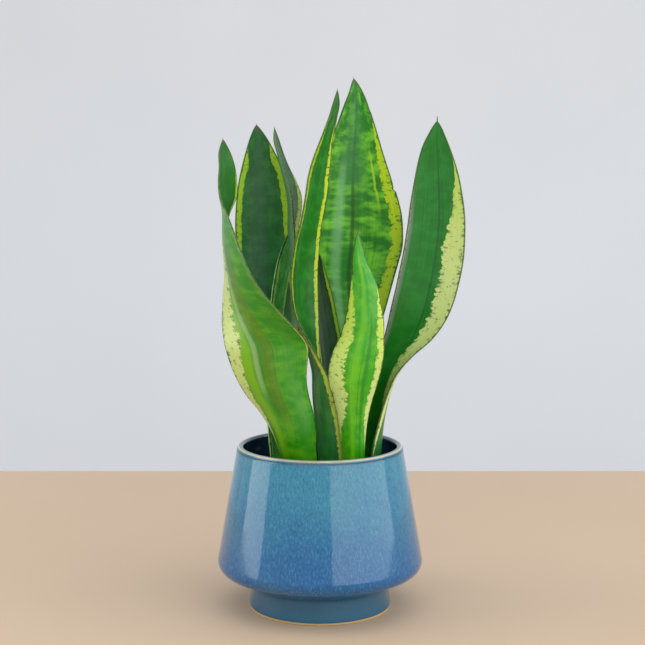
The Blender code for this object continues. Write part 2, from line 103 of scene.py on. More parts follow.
class Graph:
    """The node tree of one material, with its Principled shader."""

    def __init__(self, name: str) -> None:
        """Makes a material of that name with an empty Principled shader."""
        self.material = bpy.data.materials.new(name)
        self.material.use_nodes = True
        self.tree = self.material.node_tree
        self.shader = self.tree.nodes["Principled BSDF"]

    def node(self, kind: str, settings: dict[str, Any], inputs: dict[Any, Any], output: Any = 0) -> Signal:
        """Adds any node.

        Args:
            kind: the node's type name.
            settings: its own properties, which are set first.
            inputs: values or signals, by socket name or number.
            output: name or number of the output that is wanted.

        Returns:
            That output.
        """
        made = self.tree.nodes.new(kind)
        for key, value in settings.items():
            setattr(made, key, value)
        for key, value in inputs.items():
            self.feed(made.inputs[key], value)
        return Signal(self, made.outputs[output])

    def feed(self, socket: bpy.types.NodeSocket, value: Reading) -> None:
        """Links a signal to a socket, or sets the socket to a number or colour."""
        if isinstance(value, Signal):
            self.tree.links.new(value.socket, socket)
        elif isinstance(value, tuple) and len(socket.default_value) > len(value):
            socket.default_value = (*value, 1.0)
        else:
            socket.default_value = value

    def math(self, operation: str, first: Reading, second: Reading = 0.0) -> Signal:
        """One Math node of two values."""
        return self.node("ShaderNodeMath", {"operation": operation}, {0: first, 1: second})

    def vector(self, x: Reading, y: Reading, z: Reading = 0.0) -> Signal:
        """A vector from three values."""
        return self.node("ShaderNodeCombineXYZ", {}, {0: x, 1: y, 2: z})

    def split(self, vector: Signal) -> tuple[Signal, Signal, Signal]:
        """The three values of a vector."""
        first = self.node("ShaderNodeSeparateXYZ", {}, {0: vector})
        outputs = first.socket.node.outputs
        return first, Signal(self, outputs[1]), Signal(self, outputs[2])

    def place(self) -> Signal:
        """The Object coordinate, which is in metres in the frame's axes."""
        return self.node("ShaderNodeTexCoord", {}, {}, "Object")

    def attribute(self, name: str, output: str) -> Signal:
        """A mesh attribute, read as Vector or Fac."""
        return self.node("ShaderNodeAttribute", {"attribute_name": name}, {}, output)

    def noise(self, at: Reading, detail: float, rough: float, scale: float = 1.0) -> Signal:
        """Cloud noise from 0 to 1 at a place: its finer layers, their strength and its clouds to a unit."""
        place = at if isinstance(at, Signal) else self.vector(*at)
        sockets = {"Vector": place, "Scale": scale, "Detail": detail, "Roughness": rough}
        return self.node("ShaderNodeTexNoise", {}, sockets, "Fac")

    def cells(self, at: Signal, scale: float) -> Signal:
        """Distance to the middle of the nearest Voronoi cell."""
        return self.node("ShaderNodeTexVoronoi", {}, {"Vector": at, "Scale": scale}, "Distance")

    def rise(self, value: Reading, low: float, high: float) -> Signal:
        """Goes smoothly from 0 at low to 1 at high, and falls where low is the greater."""
        return self.node(
            "ShaderNodeMapRange",
            {"interpolation_type": "SMOOTHSTEP"},
            {"Value": value, "From Min": low, "From Max": high},
        )

    def blend(self, amount: Reading, under: Reading, over: Reading) -> Signal:
        """Lays one colour over another, which shows through where amount is below 1."""
        return self.node("ShaderNodeMix", {"data_type": "RGBA"}, {0: amount, 6: under, 7: over}, 2)

    def coats(self, ground: Reading, *layers: tuple[Reading, Reading]) -> Signal:
        """Lays (amount, colour) layers over a colour in turn."""
        for amount, colour in layers:
            ground = self.blend(amount, ground, colour)
        return ground

    def relief(self, height: Signal, depth: float, strength: float) -> Signal:
        """A normal bent by a height field, whose full range stands for depth in metres."""
        bump = {"Height": height, "Distance": depth, "Strength": strength}
        return self.node("ShaderNodeBump", {}, bump, "Normal")

    def dress(self, **sockets: Reading) -> bpy.types.Material:
        """Sets sockets of the Principled shader, whose names are given with underscores."""
        for name, value in sockets.items():
            self.feed(self.shader.inputs[name.replace("_", " ")], value)
        return self.material


# ---- mesh tools


def curve_weights(knots: np.ndarray, at: np.ndarray) -> np.ndarray:
    """Weights of a smooth curve's points at given places.

    Args:
        knots: rising places of the points.
        at: places where the curve is read.

    Returns:
        One row for each place that is read and one column for each point.
    """
    count = len(knots)
    slopes = np.zeros((count, count))
    for i in range(count):
        low, high = max(i - 1, 0), min(i + 1, count - 1)
        slopes[i, high] += 1 / (knots[high] - knots[low])
        slopes[i, low] -= 1 / (knots[high] - knots[low])
    found = np.clip(np.searchsorted(knots, at) - 1, 0, count - 2)
    step = knots[found + 1] - knots[found]
    t = (at - knots[found]) / step
    rows = np.arange(len(at))
    weights = np.zeros((len(at), count))
    weights[rows, found] += (1 + 2 * t) * (1 - t) ** 2
    weights[rows, found + 1] += t * t * (3 - 2 * t)
    weights += (step * t * (1 - t) ** 2)[:, None] * slopes[found]
    weights += (step * t * t * (t - 1))[:, None] * slopes[found + 1]
    return weights


def arc(centre: Point, radius: float, start: float, end: float, points: int) -> list[Point]:
    """(r, z) points on an arc round a centre, between two angles in degrees."""
    angles = np.radians(np.linspace(start, end, points))
    return [(centre[0] + radius * math.cos(a), centre[1] + radius * math.sin(a)) for a in angles]


def turned(profile: list[Point], steps: int) -> bmesh.types.BMesh:
    """A closed body turned about Z.

    Args:
        profile: (r, z) points in metres that start and end on the axis.
        steps: facets round the axis.

    Returns:
        The bmesh, with its poles merged and its faces outwards.
    """
    bm = bmesh.new()
    verts = [bm.verts.new((r, 0.0, z)) for r, z in profile]
    edges = [bm.edges.new(pair) for pair in zip(verts, verts[1:])]
    bmesh.ops.spin(
        bm, geom=verts + edges, axis=(0, 0, 1), cent=(0, 0, 0), angle=math.tau, steps=steps, use_merge=True
    )
    bmesh.ops.remove_doubles(bm, verts=bm.verts[:], dist=0.001 * MM)
    bmesh.ops.recalc_face_normals(bm, faces=bm.faces[:])
    return bm


def linked(name: str, data: bpy.types.ID) -> bpy.types.Object:
    """A new object of the scene, at the origin."""
    made = bpy.data.objects.new(name, data)
    bpy.context.scene.collection.objects.link(made)
    return made


def finished(bm: bmesh.types.BMesh, name: str, look: bpy.types.Material) -> bpy.types.Object:
    """Turns a bmesh into a smooth piece of the object.

    Args:
        bm: the shape, in place; it is freed.
        name: the piece's name.
        look: its material.

    Returns:
        The piece, which rides on the body.
    """
    mesh = bpy.data.meshes.new(name)
    bm.to_mesh(mesh)
    bm.free()
    mesh.materials.append(look)
    mesh.shade_smooth()
    piece = linked(name, mesh)
    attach(piece, BODY)
    log.info("%s: %d vertices, %d faces", name, len(mesh.vertices), len(mesh.polygons))
    return piece


# ---- pot


@dataclass(frozen=True)
class GlazeFinish:
    """A speckled blue glaze that breaks to beige on the lip and stops short of the clay foot."""

    high: Colour = tone(42, 122, 150)
    low: Colour = tone(0, 84, 142)
    haze: Colour = tone(76, 122, 140)
    speck: Colour = tone(80, 158, 180)
    deep: Colour = tone(2, 50, 98)
    lip: Colour = tone(206, 196, 156)
    lip_edge: Colour = tone(150, 122, 84)
    lip_shade: Colour = tone(92, 122, 132)
    # painted shade: the darker colour of the pot's inside, standing in for the shade within the pot
    inside: Colour = tone(30, 58, 76)
    # painted shade: greyer, darker glaze under the belly, where its underside faces down
    belly: Colour = tone(40, 84, 112)
    # painted shadow: the foot's darker colour, where the belly shades it
    foot: Colour = tone(28, 92, 118)
    clay: Colour = tone(212, 180, 124)
    roughness: float = 0.07

    def make(self, pot: "Pot") -> bpy.types.Material:
        """Builds the material from the pot's own heights and radii."""
        graph = Graph("blue_glaze")
        at = graph.place()
        x, y, z = graph.split(at)
        run = graph.noise((x * 900, y * 900, z * 330), 3.0, 0.62)
        fine = graph.noise((x * 1900, y * 1900, z * 900), 2.0, 0.6)
        patch = graph.noise((x * 24, y * 24, z * 15), 3.0, 0.55)
        cloud = graph.noise((x * 11 + 7, y * 11, z * 17), 2.0, 0.5)
        fall = z + (patch - 0.5) * 0.075
        wobble = (patch - 0.5) * 1.2 * MM
        radius = graph.node("ShaderNodeVectorMath", {"operation": "LENGTH"}, {0: graph.vector(x, y)}, "Value")
        wall_middle = pot.wall_radius(pot.height) - pot.wall / 2
        from_middle = radius + (z - pot.height) * pot.wall_lean() - wall_middle
        edge = graph.rise(z + wobble * 0.4, pot.height - 1.5 * MM, pot.height - 0.8 * MM)
        worn = graph.blend(graph.rise(from_middle, 0.2 * MM, 1.5 * MM), self.lip_shade, self.lip)
        worn = graph.blend(graph.rise(patch, 0.45, 0.70) * 0.8, worn, self.lip_edge)
        glaze = graph.coats(
            self.low,
            (graph.rise(fall, pot.shoulder_height * 0.9, pot.height * 0.92), self.high),
            (graph.rise(cloud, 0.47, 0.70) * 0.22, self.haze),
            (graph.rise(run, 0.50, 0.70) * 0.34, self.speck),
            (graph.rise(run, 0.50, 0.32) * 0.42, self.deep),
            (graph.rise(fine, 0.56, 0.72) * 0.34, self.speck),
            (graph.rise(fine, 0.44, 0.28) * 0.36, self.deep),
            # painted shade under the belly, growing towards the foot
            (graph.rise(z, pot.shoulder_height * 0.80, pot.foot_height + 4 * MM) * 0.55, self.belly),
            # painted shadow of the belly on the foot
            (graph.rise(z, pot.foot_height + 2 * MM, pot.foot_height) * 0.75, self.foot),
            # painted shade over the faces marked as inside, mottled with the deep glaze
            (graph.attribute("pot_inside", "Fac"), graph.blend(run * 0.5, self.inside, self.deep)),
            (edge * 0.85, worn),
        )
        bare = graph.rise(z + wobble * 0.3, pot.bare_height + 0.15 * MM, pot.bare_height - 0.15 * MM)
        grain = graph.noise(at, 4.0, 0.65, 900.0)
        clay = graph.blend(grain * 0.5, self.clay, self.lip_edge)
        waves = graph.noise((x * 60, y * 60, z * 40), 1.0, 0.4)
        return graph.dress(
            Base_Color=graph.blend(bare, glaze, clay),
            Roughness=bare * 0.6 + self.roughness + fine * 0.03,
            Coat_Weight=(1 - bare) * 0.25,
            Coat_Roughness=0.04,
            Normal=graph.relief(waves + grain * bare * 0.2 + run * 0.02, 0.5 * MM, 0.35),
        )


@dataclass
class Pot:
    """The glazed pot: a straight leaning wall over a rounded belly, on a flared foot."""

    height: float = field(default_factory=lambda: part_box("pot")[1].z)
    shoulder_radius: float = 78.4 * MM
    shoulder_height: float = 38.2 * MM
    rim_radius: float = 62.9 * MM
    belly_round: float = 9.6 * MM
    wall: float = 4.6 * MM
    foot_top_radius: float = 52.8 * MM
    foot_height: float = 16.5 * MM
    cove_radius: float = 3.5 * MM
    foot_radius: float = 54.3 * MM
    bare_height: float = 1.9 * MM
    glaze_thickness: float = 0.25 * MM
    floor: float = 6 * MM
    heel_radius: float = 4 * MM
    steps: int = 192
    finish: GlazeFinish = GlazeFinish()

    def wall_lean(self) -> float:
        """How far the wall draws in for each metre that it rises."""
        return (self.shoulder_radius - self.rim_radius) / (self.height - self.shoulder_height)

    def wall_radius(self, z: float) -> float:
        """Outer radius of the straight wall at a height above the belly."""
        return self.shoulder_radius - self.wall_lean() * (z - self.shoulder_height)

    def lean_angle(self) -> float:
        """The wall's lean in radians."""
        return math.atan(self.wall_lean())

    def belly_centre(self) -> Point:
        """(r, z) of the centre of the rounded belly."""
        lean = self.lean_angle()
        return (
            self.shoulder_radius - self.belly_round * math.cos(lean),
            self.shoulder_height - self.belly_round * math.sin(lean),
        )

    def underside_rise(self) -> float:
        """Angle in degrees at which the underside rises from the cove to touch the belly."""
        centre_r, centre_z = self.belly_centre()
        out = centre_r - self.foot_top_radius - self.cove_radius
        up = centre_z - self.foot_height - self.cove_radius
        return math.degrees(math.atan2(up, out) - math.asin(self.belly_round / math.hypot(out, up)))

    def foot_profile(self) -> list[Point]:
        """(r, z) of the clay underside, the edge of the glaze, the flared foot and the cove at its top."""
        clay = self.foot_radius - self.glaze_thickness - 1.2 * MM
        low, high = (self.foot_radius, 3.2 * MM), (self.foot_top_radius, self.foot_height - 0.5 * MM)
        return [
            (0.0, 0.0),
            (clay - 8 * MM, 0.0),
            *arc((clay, 1.2 * MM), 1.2 * MM, -90, -8, 6),
            *arc((self.foot_radius - 0.4 * MM, self.bare_height + 0.45 * MM), 0.4 * MM, -80, 0, 5),
            *np.linspace(low, high, 10).tolist(),
            *arc((self.foot_top_radius + self.cove_radius, self.foot_height), self.cove_radius, 180, 92, 14),
        ]

    def outer_profile(self) -> list[Point]:
        """(r, z) from the underside of the belly, round it and up the wall."""
        lean = math.degrees(self.lean_angle())
        belly = arc(self.belly_centre(), self.belly_round, self.underside_rise() - 90, lean, 36)
        cove_end = (self.foot_top_radius + self.cove_radius, self.foot_height + self.cove_radius)
        underside = np.linspace(cove_end, belly[0], 14).tolist()[:-1]
        heights = np.linspace(self.shoulder_height, self.height - self.wall / 2, 40)[1:]
        wall = [(self.wall_radius(z), z) for z in heights]
        return underside + belly + wall

    def hollow_profile(self, top: float, gap: float = 0.0) -> list[Point]:
        """(r, z) down the inside from the height top to the middle of the floor, drawn in by gap."""
        inset = self.wall + gap
        lean, rise = math.degrees(self.lean_angle()), self.underside_rise()
        wall = [(self.wall_radius(z) - inset, z) for z in np.linspace(top, self.shoulder_height, 30)[:-1]]
        belly = arc(self.belly_centre(), self.belly_round - inset, lean, rise - 90, 12)
        well = self.foot_top_radius - inset
        well_z = belly[-1][1] - (belly[-1][0] - well) * math.tan(math.radians(rise))
        heel_centre = (self.foot_top_radius - self.wall - self.heel_radius, self.floor + self.heel_radius)
        heel = arc(heel_centre, self.heel_radius - gap, 0, -90, 8)
        return wall + belly + [(well, well_z)] + heel + [(0.0, self.floor + gap)]

    def build(self) -> None:
        """Turns the pot and gives its glaze the slight unevenness of a dipped one."""
        lip_round = self.wall / 2
        top = self.height - lip_round
        rim = arc((self.wall_radius(self.height) - lip_round, top), lip_round, 0, 180, 15)
        outside = self.foot_profile() + self.outer_profile()
        bm = turned(outside + rim + self.hollow_profile(top)[1:], self.steps)
        for vert in bm.verts:
            radius = Vector((vert.co.x, vert.co.y)).length
            if vert.co.z > self.bare_height and radius > 20 * MM:
                uneven = noise.noise(vert.co * 26) * GLAZE_DRIFT - GLAZE_DRIFT
                vert.co += Vector((vert.co.x, vert.co.y, 0)) / radius * uneven
        bm.normal_update()
        # marks the faces that look inwards or up, which the glaze paints with the inside's painted shade
        inside = bm.verts.layers.float.new("pot_inside")
        for vert in bm.verts:
            outwards = Vector((vert.co.x, vert.co.y, 0)).normalized()
            vert[inside] = float(vert.normal.dot(outwards) < vert.normal.z)
        pot = finished(bm, "glazed_pot", self.finish.make(self))
        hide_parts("pot")


# ---- potting mix and rhizome


@dataclass(frozen=True)
class CrumbFinish:
    """A rough, matt finish of two or three earthy tones."""

    name: str
    dark: Colour
    middle: Colour
    pale: Colour
    grain: float
    roughness: float = 0.9

    def make(self) -> bpy.types.Material:
        """Builds the material on Object coordinates."""
        graph = Graph(self.name)
        at = graph.place()
        broad = graph.noise(at, 4.0, 0.6, self.grain)
        fine = graph.noise(at, 3.0, 0.65, self.grain * 6)
        colour = graph.blend(graph.rise(broad, 0.38, 0.62), self.dark, self.middle)
        colour = graph.blend(graph.rise(fine, 0.56, 0.74) * 0.7, colour, self.pale)
        return graph.dress(
            Base_Color=colour,
            Roughness=self.roughness - fine * 0.15,
            Specular_IOR_Level=0.25,
            Normal=graph.relief(fine + broad * 0.5, 0.6 * MM, 0.7),
        )


@dataclass
class PottingMix:
    """Mix that fills the pot, crumbled on top, with bark chips and perlite in it."""

    pot: Pot
    level: float = 98 * MM
    crown: float = 2.5 * MM
    gap: float = 0.3 * MM
    crumbs: int = 620
    perlite: int = 70
    bark: int = 85
    seed: int = 11

    soil: CrumbFinish = CrumbFinish(
        "potting_mix", tone(24, 17, 12), tone(52, 38, 28), tone(92, 72, 54), 260.0
    )
    bark_skin: CrumbFinish = CrumbFinish(
        "bark_chip", tone(52, 30, 18), tone(104, 68, 42), tone(150, 112, 76), 340.0
    )
    perlite_skin: CrumbFinish = CrumbFinish(
        "perlite", tone(196, 192, 182), tone(228, 226, 220), tone(244, 243, 240), 700.0
    )

    def surface(self, x: float, y: float) -> float:
        """Height of the crumbled surface at a place."""
        edge = self.inner_radius(self.level)
        share = min(1.0, math.hypot(x, y) / edge)
        lumps = noise.fractal(Vector((x, y, 0.3)) * 130, 1.0, 2.0, 4) * 1.1 * MM
        return self.level + self.crown * (1 - share * share) + lumps * (1 - 0.5 * share)

    def inner_radius(self, z: float) -> float:
        """Radius of the mix where it lies against the wall."""
        return self.pot.wall_radius(z) - self.pot.wall - self.gap

    def build_bed(self) -> None:
        """The body of the mix: a turned block whose top is crumbled."""
        below = self.pot.hollow_profile(self.level - 1 * MM, self.gap)[::-1]
        top = [(r, self.level) for r in np.linspace(self.inner_radius(self.level), 0.0, 64)]
        bm = turned(below + top, 160)
        for vert in bm.verts:
            if vert.co.z > self.level - 0.5 * MM:
                vert.co.z = self.surface(vert.co.x, vert.co.y)
        bed = finished(bm, "potting_mix_bed", self.soil.make())
        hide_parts("potting_mix")

    def scatter(self, name: str, count: int, size: Point, flat: float, look: CrumbFinish) -> None:
        """Strews rough grains over the surface as one piece.

        Args:
            name: the piece's name.
            count: number of grains.
            size: smallest and largest radius of a grain.
            flat: height of a grain as a share of its width.
            look: finish of the grains.
        """
        draw = random.Random(f"{self.seed}{name}")
        bm = bmesh.new()
        reach = self.inner_radius(self.level) - size[1] * 1.3
        for _ in range(count):
            grain = bmesh.ops.create_icosphere(bm, subdivisions=1, radius=1.0)["verts"]
            radius = draw.uniform(*size)
            stretch = Vector((radius, radius * draw.uniform(0.55, 0.95), radius * flat))
            turn = draw.uniform(0, math.tau)
            distance, heading = reach * math.sqrt(draw.random()), draw.uniform(0, math.tau)
            x, y = distance * math.cos(heading), distance * math.sin(heading)
            sunk = self.surface(x, y) + stretch.z * draw.uniform(0.1, 0.6)
            tilt = draw.uniform(-0.35, 0.35)
            for vert in grain:
                lump = vert.co * draw.uniform(0.78, 1.12)
                px, py, pz = lump.x * stretch.x, lump.y * stretch.y, lump.z * stretch.z
                vert.co = Vector((
                    x + px * math.cos(turn) - py * math.sin(turn),
                    y + px * math.sin(turn) + py * math.cos(turn),
                    sunk + pz + px * tilt,
                ))
        finished(bm, name, look.make())

    def build(self) -> None:
        """Builds the bed and what is strewn on it."""
        self.build_bed()
        self.scatter("mix_crumbs", self.crumbs, (0.8 * MM, 2.2 * MM), 0.8, self.soil)
        self.scatter("bark_chips", self.bark, (2.0 * MM, 4.8 * MM), 0.3, self.bark_skin)
        self.scatter("perlite_grains", self.perlite, (0.9 * MM, 1.9 * MM), 0.85, self.perlite_skin)


@dataclass(frozen=True)
class RhizomeFinish:
    """Smooth tan skin with ring scars and darker blotches."""

    skin: Colour = tone(196, 152, 98)
    scar: Colour = tone(120, 80, 48)
    rootlet: Colour = tone(226, 206, 168)

    def make(self) -> bpy.types.Material:
        """Builds the material on Object coordinates."""
        graph = Graph("rhizome_skin")
        at = graph.place()
        x, _, _ = graph.split(at)
        blotch = graph.noise(at, 4.0, 0.6, 90.0)
        ring = graph.noise((x * 520 + blotch * 3, 0.0), 2.0, 0.5)
        colour = graph.blend(graph.rise(blotch, 0.42, 0.66) * 0.6, self.skin, self.rootlet)
        colour = graph.blend(graph.rise(ring, 0.56, 0.70) * 0.7, colour, self.scar)
        return graph.dress(
            Base_Color=colour,
            Roughness=0.5 + blotch * 0.2,
            Normal=graph.relief(ring + blotch * 0.5, 0.5 * MM, 0.6),
        )


# ---- leaves


class Face(Enum):
    """Which face of a blade a zone lies on."""

    INNER = 0
    OUTER = 1


@dataclass(frozen=True)
class Stripe:
    """A lengthwise zone of another colour on a blade, also used for painted highlights and painted shade.

    at: its middle across the blade, -1 at the left edge and 1 at the right one.
    reach: half its width, in the same measure.
    colour: what it turns to.
    strength: how much of that colour shows.
    starts, ends: metres below the blade's point where it fades in and has faded out.
    face: the face that it lies on.
    """

    at: float
    reach: float
    colour: Colour
    strength: float
    starts: float
    ends: float
    face: Face = Face.INNER


@dataclass(frozen=True)
class Margin:
    """The pale band along one edge, in millimetres.

    inner, outer: its width on each face.
    starts, full: how far below the blade's point it starts and has its full width.
    fades, gone: how far below the point it narrows again and has narrowed to a line.
    """

    inner: float = 3
    outer: float = 3
    starts: float = 12
    full: float = 70
    fades: float = 240
    gone: float = 400


@dataclass(frozen=True)
class LeafFinish:
    """Skin of one blade: mottled green with ticked yellow margins."""

    deep: Colour
    light: Colour
    outer_wash: Colour = tone(70, 120, 80)
    outer_amount: float = 0.3
    banding: float = 0.5
    streaks: float = 0.4
    margin_high: Colour = tone(176, 206, 30)
    margin_low: Colour = tone(186, 206, 116)
    pale_from: float = 0.11
    tick: Colour = tone(22, 88, 18)
    ticks: float = 0.7
    edge_line: Colour = tone(28, 74, 22)
    left: Margin = Margin()
    right: Margin = Margin()
    stripes: tuple[Stripe, ...] = ()
    scars: float = 0.0
    dry_tip: float = 5 * MM
    roughness: float = 0.27
    seed: float = 0.0

    def margin_width(self, graph: Graph, below: Signal, side: Signal, margin: Margin) -> Signal:
        """Width of one margin at each place along the blade.

        Args:
            graph: the material's graph.
            below: metres below the blade's point.
            side: 0 on the inner face and 1 on the outer.
            margin: the margin.

        Returns:
            Metres from the edge.
        """
        inner, outer, starts, full, fades, gone = (value * MM for value in astuple(margin))
        width = (inner + side * (outer - inner)) * graph.rise(below, starts, full)
        return width * (1 - graph.rise(below, fades, gone) * MARGIN_LOSS)

    def stripe_mask(
        self, graph: Graph, stripe: Stripe, across: Signal, below: Signal, side: Signal
    ) -> Signal:
        """How much of a stripe shows at each place."""
        off = graph.math("ABSOLUTE", across - stripe.at)
        mask = graph.rise(off, stripe.reach, stripe.reach * 0.15) * stripe.strength
        mask = mask * graph.rise(below, stripe.starts, stripe.starts + 25 * MM)
        mask = mask * graph.rise(below, stripe.ends, stripe.ends - 30 * MM)
        return mask * (side if stripe.face is Face.OUTER else 1 - side)

    def make(self, name: str) -> bpy.types.Material:
        """Builds the material on the blade's own attributes."""
        graph = Graph(f"{name}_skin")
        across, below, inset = graph.split(graph.attribute("leaf_place", "Vector"))
        side = graph.attribute("leaf_side", "Fac")

        bands = graph.noise((across * 1.6 + self.seed, below * 105, side * 4), 3.0, 0.6)
        streak = graph.noise((across * 34, below * 7 + self.seed, side * 6), 3.0, 0.65)
        body = graph.coats(
            self.deep,
            (graph.rise(bands, 0.40, 0.66) * self.banding, self.light),
            (side * self.outer_amount, self.outer_wash),
            (graph.rise(streak, 0.50, 0.30) * self.streaks, tuple(c * 0.35 for c in self.deep)),
            (graph.rise(streak, 0.54, 0.74) * self.streaks * 0.7, self.light),
        )
        # stripes lay their colours over the body: some are the blade's own colour, some are painted
        # highlights and painted shade
        for stripe in self.stripes:
            mask = self.stripe_mask(graph, stripe, across, below, side)
            body = graph.blend(mask * (0.75 + streak * 0.5), body, stripe.colour)

        teeth = graph.noise((inset * 60 + self.seed, below * 230, across), 3.0, 0.6)
        left = self.margin_width(graph, below, side, self.left)
        right = self.margin_width(graph, below, side, self.right)
        width = left + (right - left) * (across > 0.0)
        width = width * (0.62 + teeth * 0.76)
        inner_line = graph.rise(inset - width, 0.25 * MM, -0.25 * MM)
        ticks = graph.noise((inset * 240, below * 400, across + self.seed), 3.0, 0.62)
        lower = graph.rise(below, self.pale_from, self.pale_from + 0.09)
        bleached = tuple(min(1.0, c * 1.25 + 0.02) for c in self.margin_low)
        nearness = graph.rise(graph.math("ABSOLUTE", inset - width * 0.5) / (width + 1e-5), 0.18, 0.5)
        pale = graph.coats(
            self.margin_high,
            (lower, self.margin_low),
            (graph.rise(streak, 0.50, 0.72) * 0.45, bleached),
            (graph.rise(ticks, 0.600, 0.660) * self.ticks, self.tick),
            (graph.rise(ticks, 0.50, 0.56) * nearness * self.ticks, self.tick),
        )
        line = graph.rise(inset - graph.rise(teeth, 0.52, 0.72) * 1.1 * MM, 0.75 * MM, 0.45 * MM)

        pore = graph.cells(graph.vector(across * 42, below * 900, side), 1.0)
        scar = graph.noise((across * 16, below * 150 + self.seed, side), 4.0, 0.7)
        dry = graph.rise(below + (teeth - 0.5) * 2 * MM, self.dry_tip, self.dry_tip * 0.4)
        skin = graph.coats(
            body,
            (inner_line, pale),
            (line * 0.85, self.edge_line),
            (graph.rise(pore, 0.10, 0.03) * graph.rise(bands, 0.55, 0.6) * 0.4, self.margin_low),
            (graph.rise(scar, 0.68, 0.75) * self.scars, tone(132, 84, 40)),
            (dry * 0.9, tone(104, 84, 72)),
        )
        return graph.dress(
            Base_Color=skin,
            Roughness=self.roughness + streak * 0.14 + inner_line * 0.05,
            Coat_Weight=0.12,
            Coat_Roughness=0.18,
            Specular_IOR_Level=0.45,
            Normal=graph.relief(streak + bands * 0.6 + teeth * 0.3, 0.35 * MM, 0.5),
        )


@dataclass
class Blade:
    """One blade, read from its CAD node ring by ring and modelled again in fine detail.

    node: the CAD node, which the blade replaces.
    slot: the record's material slot; not used.
    finish: its skin.
    awl: share of the last CAD interval, below the point, that the thin awl takes.
    channel: depth of the furrow along the middle of the inner face.
    ripple: how far the margins wave to either side.
    nicks: (metres below the point, depth) of tears in the right edge.
    tip_crowding: power that moves the rows of the tip up towards the point.
    tip_core: radius of the awl where it starts.
    ribs: how far the faces rise and fall lengthwise.
    edge_bulge: how far an edge is rounded out, as a share of its thickness.
    """

    node: str
    slot: str
    finish: LeafFinish
    awl: float = 0.14
    channel: float = 0.25 * MM
    ripple: float = 0.35 * MM
    nicks: tuple[tuple[float, float], ...] = ()
    across: int = 24
    row_step: float = 1.7 * MM
    tip_rows: int = 17
    tip_crowding: float = 0.85
    tip_core: float = 0.75 * MM
    ribs: float = 0.16 * MM
    edge_bulge: float = 0.38
    places: tuple[float, ...] = (-1.0, -0.88, -0.7, -0.4, 0.0, 0.4, 0.7, 0.88, 1.0)

    def cad_rings(self) -> tuple[np.ndarray, np.ndarray]:
        """Reads the CAD blade.

        Returns:
            Its rings, level by level, each as the inner face from left to right and then the outer face from
            right to left, and the place of its point.
        """
        bm = bmesh.new()
        bm.from_mesh(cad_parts[self.node].data)
        bmesh.ops.remove_doubles(bm, verts=bm.verts[:], dist=0.001 * MM)
        levels: dict[int, list[bmesh.types.BMVert]] = {}
        for vert in bm.verts:
            levels.setdefault(round(vert.co.z / (0.01 * MM)), []).append(vert)
        heights = sorted(levels)
        point = np.array(levels[heights[-1]][0].co)
        rings = [self.walked(levels[height]) for height in heights[1:-1]]
        bm.free()
        rings = [ring if self.signed_area(ring) > 0 else ring[::-1] for ring in rings]
        widest = max(range(len(rings)), key=lambda i: np.ptp(rings[i][:, :2], axis=0).sum())
        rings[widest] = self.from_left_edge(rings[widest])
        for i in [*range(widest + 1, len(rings)), *range(widest - 1, -1, -1)]:
            beside = rings[i - 1] if i > widest else rings[i + 1]
            turns = [np.roll(rings[i], k, axis=0) for k in range(len(beside))]
            rings[i] = min(turns, key=lambda ring: ((ring - beside)[:, :2] ** 2).sum())
        return np.array(rings), point

    def walked(self, verts: list[bmesh.types.BMVert]) -> np.ndarray:
        """The vertices of one level in the order in which its edges join them."""
        members = set(verts)
        order = [verts[0]]
        while len(order) < len(verts):
            beside = [e.other_vert(order[-1]) for e in order[-1].link_edges]
            order.append(next(v for v in beside if v in members and v not in order))
        return np.array([vert.co for vert in order])

    def signed_area(self, ring: np.ndarray) -> float:
        """Area of a ring seen from above, positive where it runs anticlockwise."""
        x, y = ring[:, 0], ring[:, 1]
        return float((x * np.roll(y, -1) - y * np.roll(x, -1)).sum() / 2)

    def from_left_edge(self, ring: np.ndarray) -> np.ndarray:
        """Turns a ring so that it starts at the inner face's left edge, found from its two blunt edges."""
        lengths = np.linalg.norm(np.roll(ring, -1, axis=0) - ring, axis=1)
        starts = sorted(int(i) + 1 for i in np.argsort(lengths)[:2])
        half = len(ring) // 2
        options = [np.roll(ring, -start, axis=0) for start in starts]

        def depth(option: np.ndarray) -> float:
            """How far the first half's middle lies from the line between the blade's edges."""
            chord = option[half - 1] - option[0]
            arm = option[half // 2] - option[0]
            return abs(chord[0] * arm[1] - chord[1] * arm[0])

        return min(options, key=depth)

    def rows(self, rings: np.ndarray, point: np.ndarray) -> tuple[np.ndarray, np.ndarray]:
        """Reads the rings closely enough for a smooth blade.

        Args:
            rings: the CAD rings.
            point: the place of the blade's point.

        Returns:
            Fine rings from the foot to just below the point, and how far below the point each one lies.
        """
        heights = np.append(rings[:, 0, 2], point[2])
        tracks = np.concatenate([rings, np.repeat(point[None, None], rings.shape[1], axis=1)])
        count = round((heights[-2] - heights[0]) / self.row_step)
        body_z = np.linspace(heights[0], heights[-2], count + 1)
        body = np.einsum("rl,ljk->rjk", curve_weights(heights, body_z), tracks)
        t = np.linspace(0.0, 1.0, self.tip_rows + 2)[1:-1] ** self.tip_crowding
        tip_z = heights[-2] + (point[2] - heights[-2]) * t
        centres = np.einsum("rl,lk->rk", curve_weights(heights, tip_z), tracks.mean(axis=1))
        last = rings[-1] - rings[-1].mean(axis=0)
        core = min(0.45, self.tip_core / (np.linalg.norm(last, axis=1).max() + 1e-9))
        closing = (1 - core) * np.clip(1 - t / (1 - self.awl), 0, 1) ** 0.8 + core * np.sqrt(1 - t)
        tip = centres[:, None] + last[None] * closing[:, None, None]
        tip[:, :, 2] = tip_z[:, None]
        fine = np.concatenate([body, tip])
        return fine, point[2] - np.append(body_z, tip_z)

